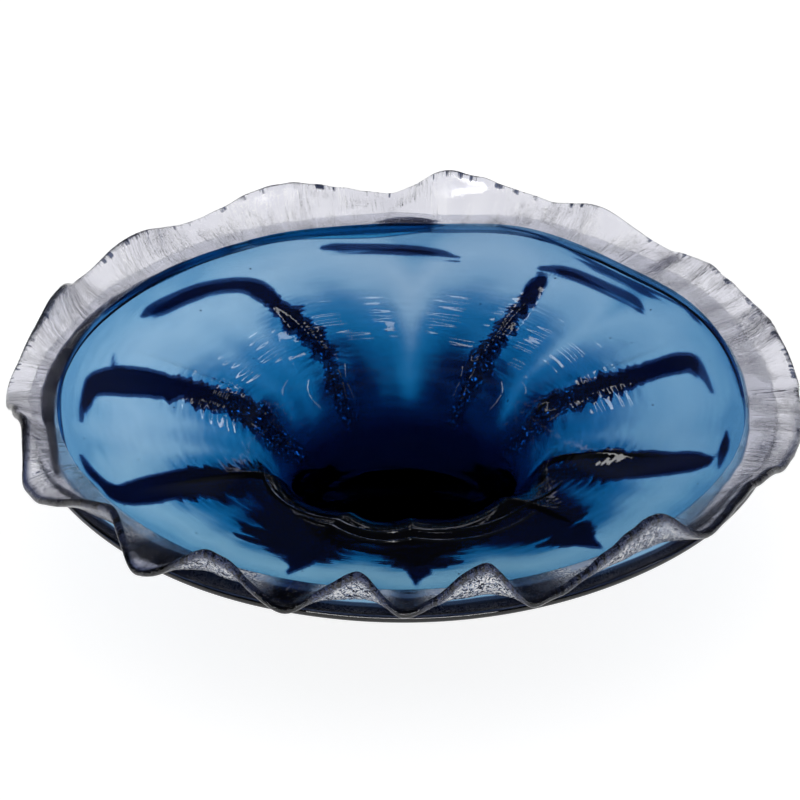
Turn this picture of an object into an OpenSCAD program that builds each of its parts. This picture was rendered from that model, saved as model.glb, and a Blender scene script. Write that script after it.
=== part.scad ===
// Art glass bowl: a blue, cased glass bowl on a pad foot, with a clear crimped frill round its lip.
// Origin: centre of the ground underside of the foot, +Z up, sizes in millimetres.

/* [Bowl] */
// Radius of the blue glass at its rim
rim_radius = 174; // [150:1:200]
// Height of the blue rim above the table
rim_height = 78; // [70:1:95]
// Height of the well's floor above the table
floor_height = 22; // [20:1:28]
// Radius where the well's wall is steepest
well_radius = 70; // [60:1:85]
// Height where the well's wall is steepest
well_height = 46; // [40:1:50]
// Slope of the well's wall there, in degrees
well_slope = 61; // [50:1:66]
// Slope of the brim at the rim, in degrees
brim_slope = 8; // [4:1:12]

/* [Glass] */
// Thickness of the blue glass on the brim
blue_wall = 4; // [3:0.5:5]
// Thickness of the blue glass in the well's floor
blue_floor = 8; // [6:0.5:9]
// Thickness of the clear casing under the brim
casing_wall = 3; // [2:0.5:4]
// Thickness of the clear casing under the well
casing_floor = 6; // [4:0.5:6]

/* [Optic ribs] */
// Depth to which the panels sag between two ribs
panel_sag = 3; // [0:0.5:5]
// Height of a rib above the panels beside it
rib_rise = 1.5; // [0:0.5:3]

/* [Lip band] */
// Radius of the smooth band's rounded edge
band_radius = 191; // [187:1:194]
// Thickness of the band
band_wall = 5; // [4:0.5:6]

/* [Frill] */
// Radius of the frill's edge where it lies level with the rim
frill_radius = 201; // [198:1:206]
// Thickness of the ribbon that the frill is crimped from
frill_wall = 4; // [3:0.5:4]
// Diameter of the rounded bead along the frill's edge
frill_bead = 5; // [4.5:0.5:6]
// How far the edge comes in for each millimetre that it rises
frill_lean = 0.5; // [0.3:0.1:0.7]
// How much of their full height the waves have
frill_swing = 1; // [0.5:0.1:1.2]

/* [Foot] */
// Radius of the foot's ground face
foot_radius = 50; // [44:1:54]
// Radius that rounds the foot's lower edge
foot_round = 3; // [2:0.5:4]

/* [Hidden] */

// Directions of the nine optic ribs, in degrees from +X
rib_angles = [22, 59, 118, 160, 212, 251, 272, 308, 340];
// Places of the grid's lines across one panel, as fractions of its width
panel_steps = [0, 0.07, 0.2, 0.35, 0.5, 0.65, 0.8, 0.93];
ring_count = 22;
sector_count = len(rib_angles) * len(panel_steps);

// Turning points of the frill's edge: direction in degrees, height above the rim
frill_turns = [
    [3, 0], [14, 8], [24, 3], [35, 5], [47, -4], [58, 12], [66, 4], [83, 19], [92, -2],
    [111, 16], [125, 3], [139, 15], [149, 6], [160, 20], [178, -4], [193, 9], [203, -6],
    [222, 15], [230, -3], [241, 16], [253, 1], [263, 18], [270, 3], [282, 21], [288, 3],
    [310, 22], [318, 4], [330, 8], [345, -2],
];
frill_count = 216;
// Stations from the frill's root to its bead
frill_steps = [0, 0.25, 0.5, 0.75, 0.94];

// Gap that keeps the faceted rims clear of the round faces beside them
fused_gap = 0.05;
band_top = rim_height - blue_wall;

// ---- helpers ----

function ramp(x, low, high) = min(1, max(0, (x - low) / (high - low)));
function smooth(x, low, high) = let (t = ramp(x, low, high)) t * t * (3 - 2 * t);
function bezier(a, b, c, d, t) =
    pow(1 - t, 3) * a + 3 * pow(1 - t, 2) * t * b + 3 * (1 - t) * t * t * c + t * t * t * d;
function bezier_heading(a, b, c, d, t) =
    pow(1 - t, 2) * (b - a) + 2 * (1 - t) * t * (c - b) + t * t * (d - c);
function in_direction(point, angle) = [point[0] * cos(angle), point[0] * sin(angle), point[1]];

// ---- the bowl's inner outline, as [radius, height], from its centre to its rim ----

wall_heading = [cos(well_slope), sin(well_slope)];
brim_heading = [cos(brim_slope), sin(brim_slope)];
centre_point = [0, floor_height];
well_point = [well_radius, well_height];
rim_point = [rim_radius, rim_height];
well_curve = [
    centre_point, centre_point + [0.49 * well_radius, 0],
    well_point - 0.36 * well_radius * wall_heading, well_point,
];
brim_curve = [
    well_point, well_point + 16 * wall_heading,
    rim_point - 0.8 * (rim_radius - well_radius) * brim_heading, rim_point,
];
// Part of the outline's run that lies in the well
well_share = 0.45;

function outline(s) = s < well_share
    ? bezier(well_curve[0], well_curve[1], well_curve[2], well_curve[3], s / well_share)
    : bezier(brim_curve[0], brim_curve[1], brim_curve[2], brim_curve[3],
             (s - well_share) / (1 - well_share));
function outline_heading(s) = s < well_share
    ? bezier_heading(well_curve[0], well_curve[1], well_curve[2], well_curve[3], s / well_share)
    : bezier_heading(brim_curve[0], brim_curve[1], brim_curve[2], brim_curve[3],
                     (s - well_share) / (1 - well_share));

// The way out through the glass: square to the outline, and straight down at the rim
function outward(s) =
    let (h = outline_heading(s), slope = atan2(h[1], h[0]) * (1 - smooth(s, 0.85, 1)))
    [sin(slope), -cos(slope)];

// Depth of a layer's face: 0 inner face, 1 blue meets clear, 2 outer face
function blue_depth(s) = blue_floor + (blue_wall - blue_floor) * smooth(s, 0.1, 0.42);
function casing_depth(s) = casing_floor + (casing_wall - casing_floor) * smooth(s, 0.1, 0.42);
function layer_depth(s, layer) =
    (layer > 0 ? blue_depth(s) : 0) + (layer > 1 ? casing_depth(s) : 0);

// ---- the optic panels ----

// Direction of one of the grid's lines, counted round from the first rib
function sector_angle(i) =
    let (
        panel = floor(i / len(panel_steps)), step = panel_steps[i % len(panel_steps)],
        from = rib_angles[panel], next = (panel + 1) % len(rib_angles),
        to = rib_angles[next] + (next == 0 ? 360 : 0)
    ) from + (to - from) * step;
// 1 where the panels are deepest and 0 at the floor and at the rim
function panel_strength(radius) = smooth(radius, 24, 80) * (1 - smooth(radius, 125, 0.98 * rim_radius));
function panel_shape(i) =
    let (u = panel_steps[i % len(panel_steps)]) u == 0 ? -rib_rise : panel_sag * 4 * u * (1 - u);
function panel_depth(i, radius, layer) =
    panel_shape(i) * panel_strength(radius) * (layer > 1 ? 0.8 * smooth(radius, 45, 75) : 1);

function glass_point(s, i, layer) =
    let (p = outline(s), depth = layer_depth(s, layer) + panel_depth(i, p[0], layer))
    in_direction(p + depth * outward(s), sector_angle(i));

// A layer of glass between two faces of the bowl
module glass_layer(upper, lower) {
    face_size = 1 + ring_count * sector_count;
    function face_points(layer) = concat(
        [glass_point(0, 0, layer)],
        [for (ring = [1:ring_count], i = [0:sector_count - 1]) glass_point(ring / ring_count, i, layer)]
    );
    function at(ring, i) = 1 + (ring - 1) * sector_count + i % sector_count;
    top_faces = concat(
        [for (i = [0:sector_count - 1]) [0, at(1, i + 1), at(1, i)]],
        [for (ring = [1:ring_count - 1], i = [0:sector_count - 1])
            each [[at(ring, i), at(ring, i + 1), at(ring + 1, i)],
                  [at(ring, i + 1), at(ring + 1, i + 1), at(ring + 1, i)]]]
    );
    bottom_faces = [for (f = top_faces) [f[0] + face_size, f[2] + face_size, f[1] + face_size]];
    rim_faces = [for (i = [0:sector_count - 1])
        let (a = at(ring_count, i), b = at(ring_count, i + 1))
        each [[a, b, b + face_size], [a, b + face_size, a + face_size]]];
    polyhedron(concat(face_points(upper), face_points(lower)),
               concat(top_faces, bottom_faces, rim_faces));
}

// ---- the frill ----

// The frill's wave: height of the edge above the rim in one direction
function turn(k) =
    let (n = len(frill_turns)) [frill_turns[k % n][0] + 360 * floor(k / n), frill_turns[k % n][1]];
function edge_height(angle) =
    let (
        a = angle < frill_turns[0][0] ? angle + 360 : angle,
        k = max([for (j = [0:len(frill_turns) - 1]) if (turn(j)[0] <= a) j]),
        t = smooth(a, turn(k)[0], turn(k + 1)[0])
    ) frill_swing * (turn(k)[1] * (1 - t) + turn(k + 1)[1] * t);

// Middle line of the ribbon in one direction, from its root at v = 0 to its bead at v = 1
function ribbon_middle(h, v) =
    let (
        root = [rim_radius + fused_gap, band_top + frill_wall / 2 + fused_gap],
        knee = [rim_radius + 13, band_top + frill_wall / 2 + 1],
        edge = [frill_radius - frill_lean * h, rim_height + h]
    ) pow(1 - v, 2) * root + 2 * v * (1 - v) * knee + v * v * edge;
function ribbon_heading(h, v) =
    let (d = ribbon_middle(h, v + 0.01) - ribbon_middle(h, v)) v == 0 ? [1, 0] : d / norm(d);
function ribbon_half(v) = frill_wall / 2 * (1 - v) + frill_bead / 2 * v;
function ribbon_side(h, v, side) =
    let (d = ribbon_heading(h, v)) ribbon_middle(h, v) + side * ribbon_half(v) * [-d[1], d[0]];
function ribbon_section(h) = concat(
    [for (v = frill_steps) ribbon_side(h, v, -1)],
    [ribbon_middle(h, 1) + frill_bead / 2 * ribbon_heading(h, 1)],
    [for (j = [len(frill_steps) - 1:-1:0]) ribbon_side(h, frill_steps[j], 1)]
);

// ---- the pieces ----

module blue_bowl() {
    color([0.08, 0.30, 0.55]) glass_layer(0, 1);
}

module clear_casing() {
    color([0.78, 0.84, 0.92, 0.55]) glass_layer(1, 2);
}

module lip_band() {
    edge = band_wall / 2;
    color([0.70, 0.74, 0.82, 0.6])
        rotate_extrude($fn = 180) {
            translate([rim_radius + fused_gap, band_top - band_wall])
                square([band_radius - edge - rim_radius - fused_gap, band_wall]);
            translate([band_radius - edge, band_top - edge]) circle(edge, $fn = 48);
        }
}

module crimped_frill() {
    side_count = 2 * len(frill_steps) + 1;
    points = [for (k = [0:frill_count - 1])
        let (angle = 360 * k / frill_count, section = ribbon_section(edge_height(angle)))
        each [for (p = section) in_direction(p, angle)]];
    function at(k, j) = (k % frill_count) * side_count + j % side_count;
    faces = [for (k = [0:frill_count - 1], j = [0:side_count - 1])
        each [[at(k, j), at(k, j + 1), at(k + 1, j + 1)], [at(k, j), at(k + 1, j + 1), at(k + 1, j)]]];
    color([0.86, 0.88, 0.94, 0.6]) polyhedron(points, faces);
}

module foot_pad() {
    // Run of the outline over which the pad is fused to the casing
    fused_run = 0.3;
    top_count = 12;
    top_edge = [for (k = [0:top_count])
        let (s = fused_run * k / top_count) outline(s) + layer_depth(s, 2) * outward(s) - [0, fused_gap]];
    side_start = [foot_radius, foot_round];
    side_end = top_edge[top_count];
    corner = [for (a = [-90:15:0])
        [foot_radius - foot_round, foot_round] + foot_round * [cos(a), sin(a)]];
    waist = [for (t = [0.2:0.2:0.8])
        bezier(side_start, side_start + [0, 3], side_end - [3, 3], side_end, t)];
    color([0.72, 0.80, 0.90, 0.7])
        rotate_extrude($fn = 180)
            polygon(concat([[0, 0]], corner, waist, [for (k = [top_count:-1:0]) top_edge[k]]));
}

blue_bowl();
clear_casing();
lip_band();
crimped_frill();
foot_pad();
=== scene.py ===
"""Art glass bowl: blue cased glass with optic ribs, and a clear crimped frill round the lip."""
import math

import bpy
import numpy as np
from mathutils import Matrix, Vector

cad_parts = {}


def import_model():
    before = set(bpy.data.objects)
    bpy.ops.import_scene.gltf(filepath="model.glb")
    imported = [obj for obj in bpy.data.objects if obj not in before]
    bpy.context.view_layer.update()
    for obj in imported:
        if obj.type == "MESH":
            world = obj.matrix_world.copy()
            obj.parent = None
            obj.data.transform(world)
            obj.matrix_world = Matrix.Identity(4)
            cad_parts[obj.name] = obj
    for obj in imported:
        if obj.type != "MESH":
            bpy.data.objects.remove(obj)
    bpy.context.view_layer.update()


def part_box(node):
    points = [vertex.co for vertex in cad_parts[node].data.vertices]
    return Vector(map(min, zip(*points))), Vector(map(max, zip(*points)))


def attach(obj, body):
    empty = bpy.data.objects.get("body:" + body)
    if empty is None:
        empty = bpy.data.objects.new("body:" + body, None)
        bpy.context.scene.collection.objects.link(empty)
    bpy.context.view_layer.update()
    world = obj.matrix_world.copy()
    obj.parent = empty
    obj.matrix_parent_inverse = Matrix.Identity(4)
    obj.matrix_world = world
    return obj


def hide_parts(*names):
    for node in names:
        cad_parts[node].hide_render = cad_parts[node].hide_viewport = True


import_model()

MM = 0.001
TAU = 2 * math.pi

# ---- sizes in millimetres, from the frame where the frame holds them ----

BLUE_LOW, BLUE_HIGH = (np.array(corner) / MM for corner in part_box("blue_bowl"))
BAND_LOW, BAND_HIGH = (np.array(corner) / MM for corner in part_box("lip_band"))
RIM_RADIUS = max(BLUE_HIGH[0], -BLUE_LOW[0])
RIM_HEIGHT = BLUE_HIGH[2]
BAND_RADIUS = BAND_HIGH[0]
BAND_WALL = BAND_HIGH[2] - BAND_LOW[2]

FLOOR_HEIGHT = 22.0
WELL_RADIUS, WELL_HEIGHT, WELL_SLOPE = 70.0, 46.0, math.radians(61)
BRIM_SLOPE = math.radians(8)
WELL_SHARE = 0.45
BLUE_WALL, BLUE_FLOOR = 4.0, 8.0
CASING_WALL, CASING_FLOOR = 3.0, 6.0
FUSED_GAP = 0.05

PANEL_SAG = 3.0
RIB_ANGLES = (22, 59, 118, 160, 212, 251, 272, 308, 340)

FRILL_RADIUS, FRILL_WALL, FRILL_BEAD, FRILL_LEAN = 201.0, 4.0, 5.0, 0.5
# Turning points of the frill's edge, as in the CAD model: direction in degrees, and height over the lip.
# This table, those of the ribs, lenses, the band's gathers and painted shade, the lip and
# the columns of painted light, and the blue's colour stops were made with the help of another program
FRILL_TURNS = np.array([
    (3, 0), (14, 8), (24, 3), (35, 5), (47, -4), (58, 12), (66, 4), (83, 19), (92, -2), (111, 16),
    (125, 3), (139, 15), (149, 6), (160, 20), (178, -4), (193, 9), (203, -6), (222, 15), (230, -3),
    (241, 16), (253, 1), (263, 18), (270, 3), (282, 21), (288, 3), (310, 22), (318, 4), (330, 8),
    (345, -2),
], float)

FOOT_RADIUS, FOOT_ROUND = 50.0, 3.0

# Each rib's band, painted dark as shade, from the rim in: radius, direction in degrees and half width
RIBS = (
    ((158, 2, 0.8), (156, 8, 2), (153, 14, 4.5), (147, 15, 8), (138, 15.5, 7.2), (125, 15.5, 7.2),
     (110, 16, 8), (95, 16, 8), (82, 17, 7.5), (70, 20, 5.5), (58, 25, 3)),
    ((141, 58.5, 2.5), (136, 59, 5), (128, 58.5, 4), (118, 58, 4), (105, 58.5, 4.6), (92, 58.5, 4.4),
     (80, 59, 4.8), (70, 61, 4.2), (60, 63, 2.6), (50, 63, 1.5)),
    ((159, 150, 1.2), (158, 146, 3.8), (155, 138, 4.2), (151, 131, 4.2), (145, 126, 4.8), (137, 124, 6),
     (128, 123.5, 4.8), (115, 122.5, 4.6), (100, 121.5, 4.8), (88, 121, 4.4), (76, 120.5, 4.2),
     (62, 119.5, 3.4), (52, 119, 2)),
    ((166, 188, 0.8), (164, 183, 2.2), (161, 177, 4.5), (155, 173.5, 9.5), (147, 171.5, 12),
     (137, 170, 11.2), (125, 169.5, 9.8), (112, 169, 8.8), (98, 168.5, 9.2), (85, 168.5, 9.6),
     (74, 167, 8.5), (64, 163.5, 6), (54, 162, 3)),
    ((172, 199, 0.8), (172, 204, 2), (170, 209, 3.2), (166, 212.5, 8), (158, 213, 11), (146, 212.5, 11.5),
     (134, 212.5, 13), (122, 213, 14.5), (110, 214, 13.5), (98, 215, 14), (85, 217, 14), (72, 219, 12),
     (60, 221, 8)),
    ((169, 250, 0.6), (163, 250.5, 2), (155, 250.5, 5), (146, 249.5, 10), (138, 248.5, 17),
     (130, 247, 23), (122, 246, 26), (112, 246, 27), (102, 246, 25), (90, 247, 22), (75, 247, 18),
     (60, 247, 12)),
    ((169, 272, 0.6), (163, 272, 2), (155, 272.5, 5), (146, 273, 9), (138, 273.5, 15), (130, 273.5, 19),
     (120, 272, 21), (108, 271, 22), (95, 271, 20), (80, 271, 15), (62, 271, 10)),
    ((169, 305, 0.6), (163, 305, 2.4), (155, 304.5, 6), (146, 304, 11), (136, 303.5, 16), (128, 303, 19),
     (119, 301, 21), (108, 297, 22), (96, 294, 22), (80, 292, 16), (60, 290, 10)),
    ((164, 339, 1.5), (160, 338.5, 6), (153, 338, 9.5), (143, 337, 9.8), (132, 336.5, 11.5),
     (120, 335.5, 12), (108, 335, 12.2), (97, 333.5, 10.5), (86, 331, 9), (74, 327, 7), (60, 323, 4)),
)
# Short lenses near the rim that no rib reaches, painted dark with the ribs
LENSES = (
    ((147, 78.5, 0.6), (150, 83, 2.6), (153, 90, 2.8), (155, 97, 3), (157, 103, 3.2), (157.5, 106, 2)),
    ((153, 34.5, 0.6), (155.5, 39, 2.8), (154.5, 46, 2.6), (153.5, 53, 2.8), (151.5, 57, 3.2),
     (148, 60.5, 1.8)),
    ((171, 337, 0.5), (168.5, 343, 2.4), (166.5, 348.5, 0.6)),
    ((157, 164, 0.5), (154, 171, 0.9)),
    ((173, 359, 0.8), (172, 8, 0.9), (172.5, 20, 1.1), (171, 27, 1), (168.5, 33, 1), (165.5, 40, 1.2),
     (164.5, 46, 1.2), (165.5, 52, 1.2), (169, 60, 1), (172, 66, 0.9), (173.5, 73, 0.5)),
)
# Stretches of the lip where the blue gathers thick, between the brim and the clear edge
LIP_LENSES = (
    ((172, 83, 0.5), (171, 88, 3.2), (170, 95, 4.8), (171, 103, 4.4), (172.5, 110, 3.2),
     (173.5, 118, 2.2)),
    ((172, 119, 1), (174, 127, 2.6), (174.5, 137, 2.8), (176, 148, 1.2), (178, 154, 0.6)),
    ((180, 155, 1), (180, 165, 2), (179, 178, 2.6), (179, 190, 2.6), (180, 200, 2), (177, 210, 1)),
)
# Stretches of the band painted dark: the gather's dark line and a fold at the back,
# and painted shade at the left root and along the front's edge
GATHERS_AND_SHADE = (
    ((176, 112, 0.4), (177.5, 126, 0.7), (179, 140, 1.1), (181.5, 150, 1.8)),
    ((180, 83.5, 0.5), (181, 87, 2.5), (181, 91, 2.5), (179, 95, 0.8)),
    ((182, 148, 1), (182, 156, 2.4), (182, 165, 3.4), (182.5, 176, 3.6), (183, 186, 3.4), (184, 194, 2.6),
     (187, 202, 1)),
    ((191, 205, 1), (191, 214, 6), (192, 226, 11), (192, 250, 12), (192, 270, 12), (192, 290, 12),
     (192, 308, 11), (191, 322, 7), (191, 336, 1)),
)
# How far the blue runs out into the band, by direction in degrees
BLUE_LIMIT = np.array([
    (0, 175), (60, 174.5), (110, 175), (140, 178), (160, 181), (185, 181.5), (205, 184), (225, 186),
    (250, 184), (290, 184), (315, 182), (340, 178),
], float)
# Thin raised threads round the front of the well's mouth: how far out each one reaches, how fast it closes
# in on either side (per square degree), its first and last direction and its half width
THREAD_SHAPES = ((105, 0.0045, 200, 325, 1.0), (118, 0.01, 240, 305, 0.9))
THREAD_MIDDLE = 280
THREAD_POINTS = 9
# How far the lip stands out and up from its plain circle, by direction in degrees
LIP_TURNS = np.array([
    (5, -0.5, 0), (30, 1, 0), (46, -1, -0.5), (68, 1.5, 1.5), (86, -0.5, -2), (97, 0, -2.4),
    (118, 0.5, -0.5), (140, 2, 0), (165, 3.5, 0), (190, 3.8, 0), (215, 1.5, 0), (235, 2, 0),
    (262, 0, -0.5), (290, 0.5, 0.5), (318, 0, 0), (345, 1.5, 0.5),
], float)

# ---- shapes shared with the CAD model ----


def ramp(x, low, high):
    return np.clip((x - low) / (high - low), 0, 1)


def smooth(x, low, high):
    t = ramp(x, low, high)
    return t * t * (3 - 2 * t)


def bezier(points, t):
    a, b, c, d = (np.array(p, float) for p in points)
    t = np.asarray(t, float)[..., None]
    return (1 - t) ** 3 * a + 3 * (1 - t) ** 2 * t * b + 3 * (1 - t) * t * t * c + t ** 3 * d


def bezier_heading(points, t):
    a, b, c, d = (np.array(p, float) for p in points)
    t = np.asarray(t, float)[..., None]
    return (1 - t) ** 2 * (b - a) + 2 * (1 - t) * t * (c - b) + t * t * (d - c)


WALL_HEADING = np.array([math.cos(WELL_SLOPE), math.sin(WELL_SLOPE)])
BRIM_HEADING = np.array([math.cos(BRIM_SLOPE), math.sin(BRIM_SLOPE)])
CENTRE_POINT = np.array([0, FLOOR_HEIGHT])
WELL_POINT = np.array([WELL_RADIUS, WELL_HEIGHT])
RIM_POINT = np.array([RIM_RADIUS, RIM_HEIGHT])
WELL_CURVE = (CENTRE_POINT, CENTRE_POINT + [0.49 * WELL_RADIUS, 0],
              WELL_POINT - 0.36 * WELL_RADIUS * WALL_HEADING, WELL_POINT)
BRIM_CURVE = (WELL_POINT, WELL_POINT + 16 * WALL_HEADING,
              RIM_POINT - 0.8 * (RIM_RADIUS - WELL_RADIUS) * BRIM_HEADING, RIM_POINT)


def outline(s):
    """The bowl's inner outline: radius and height for each share s of its run."""
    s = np.asarray(s, float)
    well = bezier(WELL_CURVE, np.clip(s / WELL_SHARE, 0, 1))
    brim = bezier(BRIM_CURVE, np.clip((s - WELL_SHARE) / (1 - WELL_SHARE), 0, 1))
    return np.where((s < WELL_SHARE)[..., None], well, brim)


def outward(s):
    """The way out through the glass, square to the outline and straight down at the rim."""
    s = np.asarray(s, float)
    well = bezier_heading(WELL_CURVE, np.clip(s / WELL_SHARE, 0, 1))
    brim = bezier_heading(BRIM_CURVE, np.clip((s - WELL_SHARE) / (1 - WELL_SHARE), 0, 1))
    h = np.where((s < WELL_SHARE)[..., None], well, brim)
    slope = np.arctan2(h[..., 1], h[..., 0]) * (1 - smooth(s, 0.85, 1))
    return np.stack([np.sin(slope), -np.cos(slope)], -1)


def layer_depth(s, layer):
    blue = BLUE_FLOOR + (BLUE_WALL - BLUE_FLOOR) * smooth(s, 0.1, 0.42)
    casing = CASING_FLOOR + (CASING_WALL - CASING_FLOOR) * smooth(s, 0.1, 0.42)
    return (blue if layer > 0 else 0 * blue) + (casing if layer > 1 else 0 * casing)


def panel_phase(degrees):
    """Where a direction lies between its two ribs, from 0 to 1, and the number of its panel."""
    ribs = np.array(RIB_ANGLES + (RIB_ANGLES[0] + 360,), float)
    a = (degrees - ribs[0]) % 360 + ribs[0]
    k = np.clip(np.searchsorted(ribs, a, side="right") - 1, 0, len(RIB_ANGLES) - 1)
    return (a - ribs[k]) / (ribs[k + 1] - ribs[k]), k


def panel_strength(radius):
    return smooth(radius, 24, 80) * (1 - smooth(radius, 125, 0.98 * RIM_RADIUS))


# ---- smooth noise that is the same on each run ----


def waves(count, low, high, seed):
    """A sum of sines of one variable, with wave numbers from low to high, about -1 to 1."""
    pick = np.random.default_rng(seed)
    k = pick.uniform(low, high, count)
    phase = pick.uniform(0, TAU, count)
    return lambda x: np.sin(np.multiply.outer(x, k) + phase).sum(-1) / math.sqrt(count / 2) * 0.6


def ring_waves(count, low, high, seed):
    """The same, round a full turn, with whole wave numbers so that it closes."""
    pick = np.random.default_rng(seed)
    k = pick.integers(low, high + 1, count)
    phase = pick.uniform(0, TAU, count)
    return lambda a: np.sin(np.multiply.outer(a, k) + phase).sum(-1) / math.sqrt(count / 2) * 0.6


# ---- rib lines ----


def plan_line(line, steps=14):
    """Points of a smooth line through given points, in plan, with the half width at each."""
    polar = np.array(line, float)
    p = np.stack([polar[:, 0] * np.cos(np.radians(polar[:, 1])),
                  polar[:, 0] * np.sin(np.radians(polar[:, 1])), polar[:, 2]], 1)
    ends = np.vstack([2 * p[0] - p[1], p, 2 * p[-1] - p[-2]])
    out = []
    for k in range(1, len(ends) - 2):
        a, b, c, d = ends[k - 1:k + 3]
        for t in np.linspace(0, 1, steps, endpoint=False):
            out.append(0.5 * (2 * b + (c - a) * t + (2 * a - 5 * b + 4 * c - d) * t * t
                              + (3 * b - a - 3 * c + d) * t ** 3))
    out.append(p[-1])
    return np.array(out)


def thread(reach, closing, first, last, half):
    """A bowed line that reaches furthest out at THREAD_MIDDLE and thins to half its width at both ends."""
    turns = np.linspace(first, last, THREAD_POINTS)
    swell = 0.5 + 0.5 * np.sin(np.linspace(0, math.pi, THREAD_POINTS))
    radius = reach - closing * (turns - THREAD_MIDDLE) ** 2
    return list(zip(radius, turns, half * swell))


THREADS = [thread(*shape) for shape in THREAD_SHAPES]


def depth_inside(x, y, line):
    """How deep each point lies inside the band round a plan line, in millimetres, less than 0 outside."""
    pts = plan_line(line)
    deepest = np.full(x.shape, -1e3)
    for a, b in zip(pts[:-1], pts[1:]):
        d = b - a
        t = np.clip(((x - a[0]) * d[0] + (y - a[1]) * d[1]) / (d[0] ** 2 + d[1] ** 2), 0, 1)
        distance = np.hypot(x - a[0] - t * d[0], y - a[1] - t * d[1])
        deepest = np.maximum(deepest, a[2] + t * d[2] - distance)
    return deepest


def deepest_inside(x, y, lines, least=-18.0):
    return np.maximum.reduce([depth_inside(x, y, line) for line in lines] + [np.full(x.shape, least)])


def lip_offset(radius, degrees):
    """How far out and up the lip's waves carry a point."""
    share = smooth(radius, 110, RIM_RADIUS)
    move = by_direction(LIP_TURNS, degrees)
    return move[..., 0] * share, move[..., 1] * share


def by_direction(table, degrees):
    """Values of a table of directions, eased from one row to the next round the full turn."""
    rows = np.vstack([table[-1] - np.eye(1, table.shape[1])[0] * 360, table,
                      table[0] + np.eye(1, table.shape[1])[0] * 360])
    k = np.clip(np.searchsorted(rows[:, 0], degrees % 360, side="right") - 1, 0, len(rows) - 2)
    t = smooth(degrees % 360, rows[k, 0], rows[k + 1, 0])[..., None]
    return rows[k, 1:] * (1 - t) + rows[k + 1, 1:] * t


# ---- mesh helpers ----


# Edges that turn by more than this are creases
SHARP_EDGE = math.radians(62)

# Columns of painted light down the panels, and of painted shade below 0: direction, half width in degrees and
# strength
LIGHT_AND_SHADE_COLUMNS = (
    (40, 2.6, 0.15), (88, 4.5, 0.17), (134, 5, 0.07), (147, 4, 0.05), (183, 4, 0.06), (196, 4, 0.08),
    (226, 5, 0.08), (235, 2.5, 0.08), (262, 5, 0.14), (286, 5, 0.14), (322, 4, 0.08), (330, 2.5, 0.05),
    (352, 5, 0.06), (72, 8, -0.09), (29, 5, -0.06), (109, 7, -0.08), (50, 4, -0.05),
)


def bowl_shade(x, y):
    """From 0 at the lip to 1 in the well, how far the blue is painted toward black: its own deepening, and
    painted shade in the well and across the front.
    """
    radius, angle = np.hypot(x, y), np.arctan2(y, x)
    front = smooth(-np.sin(angle), 0.15, 0.95)
    inward = radius - 68 * front * ramp(178 - radius, 0, 50)
    shade = (RIM_RADIUS - inward) / 134
    # Columns of painted light, and of painted shade where the strength is below 0
    for direction, half, strength in LIGHT_AND_SHADE_COLUMNS:
        turn = (np.degrees(angle) - direction + 180) % 360 - 180
        shade = shade - strength * np.exp(-(turn / half) ** 2) * smooth(radius, 58, 75)
    return np.clip(shade, 0, 1)


def in_front(angle):
    return smooth(-np.sin(angle), 0.45, 0.95)


def ripple_share(radius):
    """Where the ripples tooth the ribs' edges: 1 on the panels' rippled ring and 0 beyond it."""
    return smooth(radius, 62, 76) * (1 - smooth(radius, 112, 136))


def mesh_piece(name, points, faces, fused, attributes=None):
    """A mesh from millimetres. fused marks the faces melted to a neighbour, which don't bend light."""
    mesh = bpy.data.meshes.new(name)
    mesh.from_pydata((np.asarray(points) * MM).tolist(), [], faces)
    mesh.shade_smooth()
    mesh.set_sharp_from_angle(angle=SHARP_EDGE)
    layer = mesh.attributes.new("fused", "FLOAT", "FACE")
    layer.data.foreach_set("value", np.asarray(fused, np.float32))
    for key, values in (attributes or {}).items():
        layer = mesh.attributes.new(key, "FLOAT", "POINT")
        layer.data.foreach_set("value", np.asarray(values, np.float32))
    piece = bpy.data.objects.new(name, mesh)
    bpy.context.scene.collection.objects.link(piece)
    return piece


def ring_faces(rows, columns, start=0, flip=False):
    """Quads of a grid whose rows are closed rings of points."""
    r, c = np.meshgrid(np.arange(rows - 1), np.arange(columns), indexing="ij")
    n = (c + 1) % columns
    quads = np.stack([r * columns + c, r * columns + n, (r + 1) * columns + n, (r + 1) * columns + c], -1)
    quads = quads.reshape(-1, 4) + start
    return (quads[:, ::-1] if flip else quads).tolist()


def turned(radius, height, angle):
    """Points of a grid: radius and height by row and column, angle by column."""
    return np.stack([radius * np.cos(angle), radius * np.sin(angle), height], -1)


# ---- the blue bowl and its casing ----

SECTORS = 400
UPPER_RINGS = 200
LOWER_RINGS = 36
FOOT_CONTACT = 47
# Relief of the upper face: the ribs, their teeth, the panels' ripples and the threads
RIB_RISE, TOOTH_RISE, RIPPLE_RISE, THREAD_RISE = 0.9, 0.05, 0.13, 0.5
# Radii over which the well's faces begin to mirror and bend light, on the blue and under the casing
UPPER_CLEARING, LOWER_CLEARING = (60, 76), (66, 82)
ANGLES = np.arange(SECTORS) * TAU / SECTORS


def ring_shares(count):
    """Shares of the outline's run for its rings, which crowd where the panels ripple and at the rim."""
    s = np.linspace(0, 1, 2001)
    p = outline(s)
    step = np.linalg.norm(np.diff(p, axis=0), axis=1)
    radius = (p[1:, 0] + p[:-1, 0]) / 2
    crowding = 1 + 1.1 * np.exp(-((radius - 98) / 24) ** 2) + 0.8 * smooth(radius, 160, 172)
    run = np.concatenate([[0], np.cumsum(step * crowding)])
    return np.interp(np.linspace(0, 1, count + 1)[1:], run / run[-1], s)


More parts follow.
